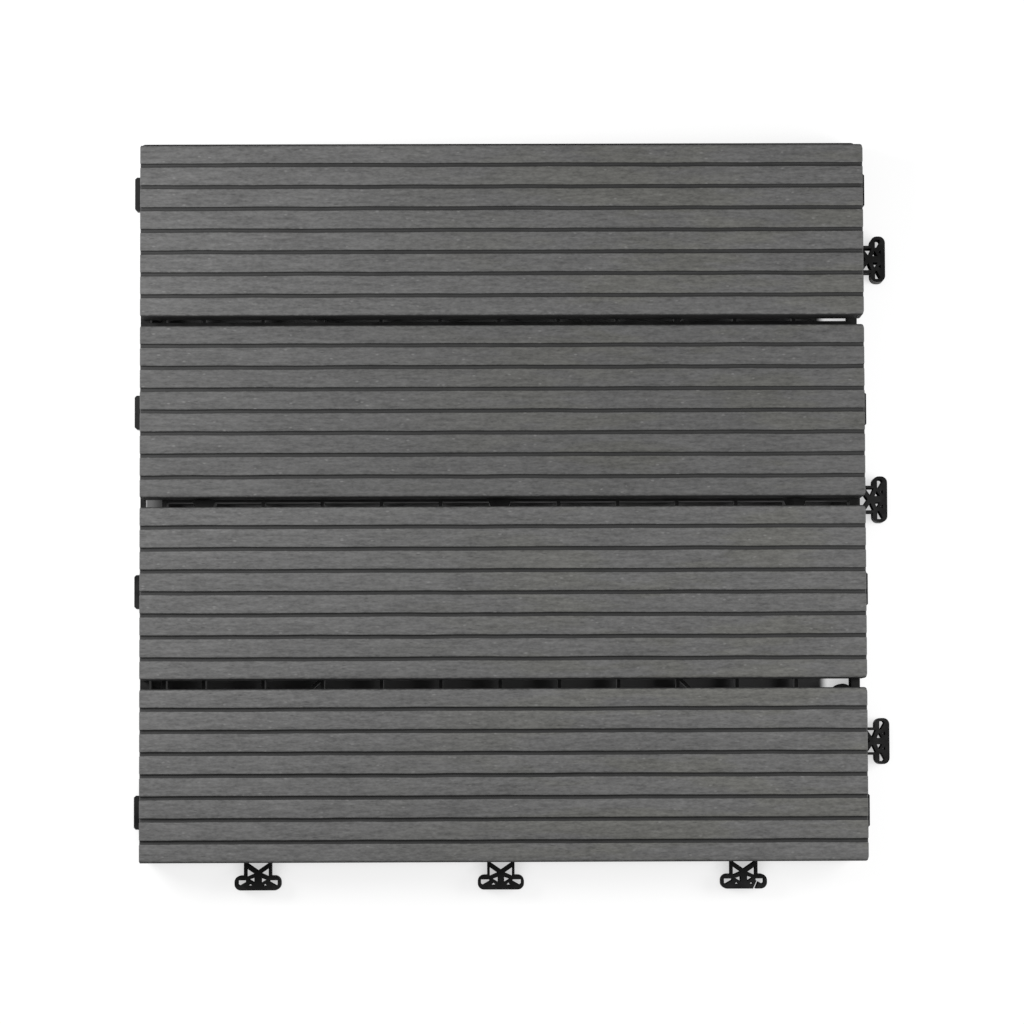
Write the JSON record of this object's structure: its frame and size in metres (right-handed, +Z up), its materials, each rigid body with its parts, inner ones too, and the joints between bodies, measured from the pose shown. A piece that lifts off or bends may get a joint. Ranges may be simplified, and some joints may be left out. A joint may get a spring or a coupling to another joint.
{
  "type": "interlocking deck tile",
  "caption": "Square outdoor floor tile: grooved grey composite slats screwed to a black moulded lattice base with T-shaped tabs and sockets on its sides.",
  "frame": {"origin": "on the ground under the middle of the base, at the centre of the middle foot's underside", "axes": "+X along the slats towards one tabbed side, +Y towards a side with sockets, +Z up out of the walking face"},
  "size_m": [0.3116, 0.3087, 0.022],
  "materials": {
    "composite": "extruded wood-plastic composite, brushed along its length, with fine streaks and pale specks",
    "base_plastic": "black injection-moulded polypropylene with a fine even texture",
    "screw_steel": "zinc-plated screw steel"
  },
  "bodies": {
    "root": {"base_grid": "base_plastic", "slat_1": "composite", "slat_2": "composite", "slat_3": "composite", "slat_4": "composite"}
  },
  "joints": []
}
